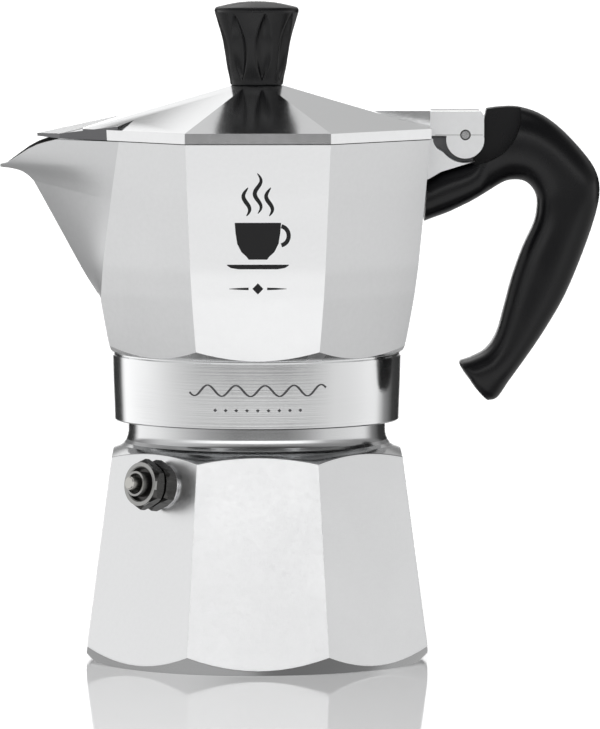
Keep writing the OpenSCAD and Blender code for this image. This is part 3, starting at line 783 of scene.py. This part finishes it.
def valve_hexagon():
    """Two chamfered hexagons with a groove between, and a turned front ring with a dark recess."""
    apothem, chamfer_r, chamfer_rise, columns = 5.3, 5.4, 0.85, 96
    # Radius, height, and which way a hexagon's chamfer turns there, or 0 on a turned part
    profile = [(4.4, -7.5, 0), (4.4, 0.5, 0), (5.4, 0.6, 0), (9, 0.6, 1), (9, 3.7, -1), (5.4, 4.1, 0),
               (4.8, 4.15, 0), (4.8, 4.75, 0), (5.4, 4.8, 0), (9, 4.8, 1), (9, 7.3, -1), (5.2, 7.8, 0),
               (4.3, 7.8, 0), (4.05, 7.6, 0), (4.05, 6.4, 0), (3.0, 6.4, 0), (3.0, 4.6, 0), (2.6, 4.6, 0),
               (2.6, -6.5, 0)]
    rings = []
    for r, z, side in profile:
        ring = []
        for a in even_angles(columns):
            d = (a + math.pi / 6) % (math.pi / 3) - math.pi / 6
            hexagon = apothem / math.cos(d)
            if side:
                radius = hexagon
                height = z + side * chamfer_rise * max(0.0, hexagon - chamfer_r)
            else:
                radius, height = min(r, hexagon) if r > 5 else r, z
            ring.append((radius * math.cos(a), radius * math.sin(a), height))
        rings.append(ring)
    bm = ring_mesh(rings)
    # From the valve's own axis to its place on the front left facet, tilted as that facet is
    tilt = math.asin(Vector(joints["relief_valve"]["axis"]).normalized().z)
    place = (Matrix.Rotation(math.radians(225), 4, "Z")
             @ Matrix.Translation(Vector((35.76, 3.7, 44.3)) * MM)
             @ Matrix.Rotation(math.pi / 2 - tilt, 4, "Y") @ Matrix.Rotation(math.radians(30), 4, "Z"))
    bmesh.ops.transform(bm, matrix=place, verts=bm.verts)
    piece = finish_piece("valve_hexagon", to_mesh(bm, "valve_hexagon"), "base", valve_metal)
    piece.data.materials.append(bush_metal)
    front_z, ring_r = 7.2, 5.3
    for polygon in piece.data.polygons:
        local = place.inverted() @ polygon.center / MM
        if local.z > front_z and local.xy.length < ring_r:
            polygon.material_index = 1
    bevel(piece, 0.12, segments=2, angle=30)
    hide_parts("valve_body")


valve_hexagon()


# ---------------------------------------------------------------- stage, light and camera

def floor():
    bm = bmesh.new()
    bmesh.ops.create_grid(bm, x_segments=2, y_segments=2, size=30)
    plane = bpy.data.objects.new("floor", to_mesh(bm, "floor"))
    bpy.context.scene.collection.objects.link(plane)
    material, nodes, links = new_material("floor")
    shader = nodes["Principled BSDF"]
    shader.inputs["Base Color"].default_value = (0.93, 0.93, 0.935, 1)
    shader.inputs["Roughness"].default_value = 0.07
    shader.inputs["IOR"].default_value = 1.4
    plane.data.materials.append(material)
    plane.visible_glossy = False


def area_light(name, place, target, size, power):
    """Soft rectangular light, left out of reflections."""
    lamp = bpy.data.lights.new(name, "AREA")
    lamp.shape = "RECTANGLE"
    lamp.size, lamp.size_y = size
    lamp.energy = power
    made = bpy.data.objects.new(name, lamp)
    bpy.context.scene.collection.objects.link(made)
    made.location = place
    made.rotation_euler = (Vector(target) - Vector(place)).to_track_quat("-Z", "Y").to_euler()
    made.visible_glossy = False


# The light tent in bands by height. Each band has the heights where it begins and is complete, from -1 straight
# down to 1 straight up, then its light as (degrees from straight ahead, strength), with the left side negative.
GROUND = [(-180, 0.3), (-120, 0.42), (-90, 0.4), (-40, 0.12), (0, 0.1), (40, 0.12), (100, 0.14), (180, 0.3)]
BANDS = [
    (-0.75, -0.6, [(-180, 0.36), (-140, 0.38), (-100, 0.42), (-91, 0.78), (-60, 0.9), (-30, 1.14), (0, 1.2),
                   (35, 1.14), (60, 0.84), (90, 0.64), (120, 0.52), (150, 0.4), (180, 0.4)]),
    (-0.17, -0.15, [(-180, 1.7), (-170, 1.7), (-164, 0.03), (-142, 0.05), (-132, 1.25), (-100, 1.1),
                    (-82, 0.9), (-66, 0.7), (-45, 0.46), (-20, 0.28), (25, 0.28), (42, 0.44), (64, 0.8),
                    (100, 1.0), (112, 1.0), (124, 0.3), (140, 0.05), (164, 0.03), (170, 1.7), (180, 1.7)]),
    (0.12, 0.17, [(-180, 0.3), (-150, 0.2), (-125, 0.35), (-100, 0.72), (-75, 0.86), (-40, 1.6), (0, 2.2),
                  (40, 1.6), (65, 0.6), (100, 0.33), (125, 0.3), (150, 0.2), (180, 0.3)]),
    (0.3, 0.36, [(-180, 0.6), (-175, 1.15), (-165, 1.05), (-140, 0.5), (-100, 0.7), (-50, 0.6), (0, 0.35),
                 (50, 0.35), (100, 0.3), (150, 0.45), (172, 0.55), (180, 0.65)]),
    (0.47, 0.52, [(-180, 0.7), (-172, 0.75), (-160, 0.56), (-120, 0.4), (-60, 0.2), (0, 0.05), (60, 0.1),
                  (120, 0.2), (160, 0.25), (172, 0.6), (180, 0.7)]),
    (0.63, 0.69, [(-180, 0.03), (-120, 0.25), (-60, 0.3), (0, 0.04), (60, 0.12), (120, 0.1), (180, 0.03)]),
    (0.9, 0.95, [(-180, 0.5), (180, 0.5)]),
]


def studio_world():
    """Light tent by direction: grey ahead, bright to both sides, dark flags behind them, white at the back."""
    world = bpy.data.worlds.new("studio")
    world.use_nodes = True
    nodes, links = world.node_tree.nodes, world.node_tree.links

    def math_node(operation, first, *constants):
        made = node(nodes, "ShaderNodeMath", operation=operation)
        links.new(first, made.inputs[0])
        for k, value in enumerate(constants):
            made.inputs[k + 1].default_value = value
        return made

    coord = node(nodes, "ShaderNodeTexCoord")
    split = node(nodes, "ShaderNodeSeparateXYZ")
    links.new(coord.outputs["Generated"], split.inputs[0])
    ahead = math_node("MULTIPLY", split.outputs["Y"], -1.0)
    azimuth = math_node("ARCTAN2", split.outputs["X"])
    links.new(ahead.outputs[0], azimuth.inputs[1])
    # Both shares run from 0 to 1: once round the horizon, and from straight down to straight up
    share = math_node("MULTIPLY_ADD", azimuth.outputs[0], 1 / (2 * math.pi), 0.5)
    height = math_node("MULTIPLY_ADD", split.outputs["Z"], 0.5, 0.5)

    def around(stops):
        return ramp(nodes, links, share.outputs[0], [(0.5 + degrees / 360, v) for degrees, v in stops])

    light = around(GROUND)
    for start, end, stops in BANDS:
        mix = node(nodes, "ShaderNodeMix", data_type="RGBA")
        edge = [(0.0, 0.0), ((start + 1) / 2, 0.0), ((end + 1) / 2, 1.0), (1.0, 1.0)]
        links.new(ramp(nodes, links, height.outputs[0], edge), mix.inputs[0])
        links.new(light, mix.inputs[6])
        links.new(around(stops), mix.inputs[7])
        light = mix.outputs[2]
    links.new(light, nodes["Background"].inputs["Color"])
    bpy.context.scene.world = world


def camera():
    """At the height, distance and slight turn the pot is seen from."""
    distance, height, sideways, turn, pitch = 1.957, 0.224, 0.01046, math.radians(0.7), 0.0779
    ahead = Vector((math.sin(turn), math.cos(turn), 0))
    right = Vector((math.cos(turn), -math.sin(turn), 0))
    lens = bpy.data.cameras.new("camera")
    lens.lens = 400.4
    lens.sensor_width = 36
    lens.clip_end = 100
    made = bpy.data.objects.new("camera", lens)
    bpy.context.scene.collection.objects.link(made)
    made.location = -distance * ahead + sideways * right + Vector((0, 0, height))
    look = ahead * math.cos(pitch) + Vector((0, 0, -math.sin(pitch)))
    made.rotation_euler = look.to_track_quat("-Z", "Y").to_euler()
    bpy.context.scene.camera = made


floor()
studio_world()
area_light("key", place=(-0.45, -0.9, 1.1), target=(-0.1, -0.2, 0), size=(0.8, 0.6), power=7)
area_light("front", place=(0.0, -0.62, 0.5), target=(0, -0.3, 0), size=(0.3, 0.2), power=2.2)
area_light("fill", place=(1.6, -1.0, 1.3), target=(0, 0, 0.08), size=(0.9, 1.2), power=1)
camera()
bpy.context.scene.view_settings.view_transform = "Standard"
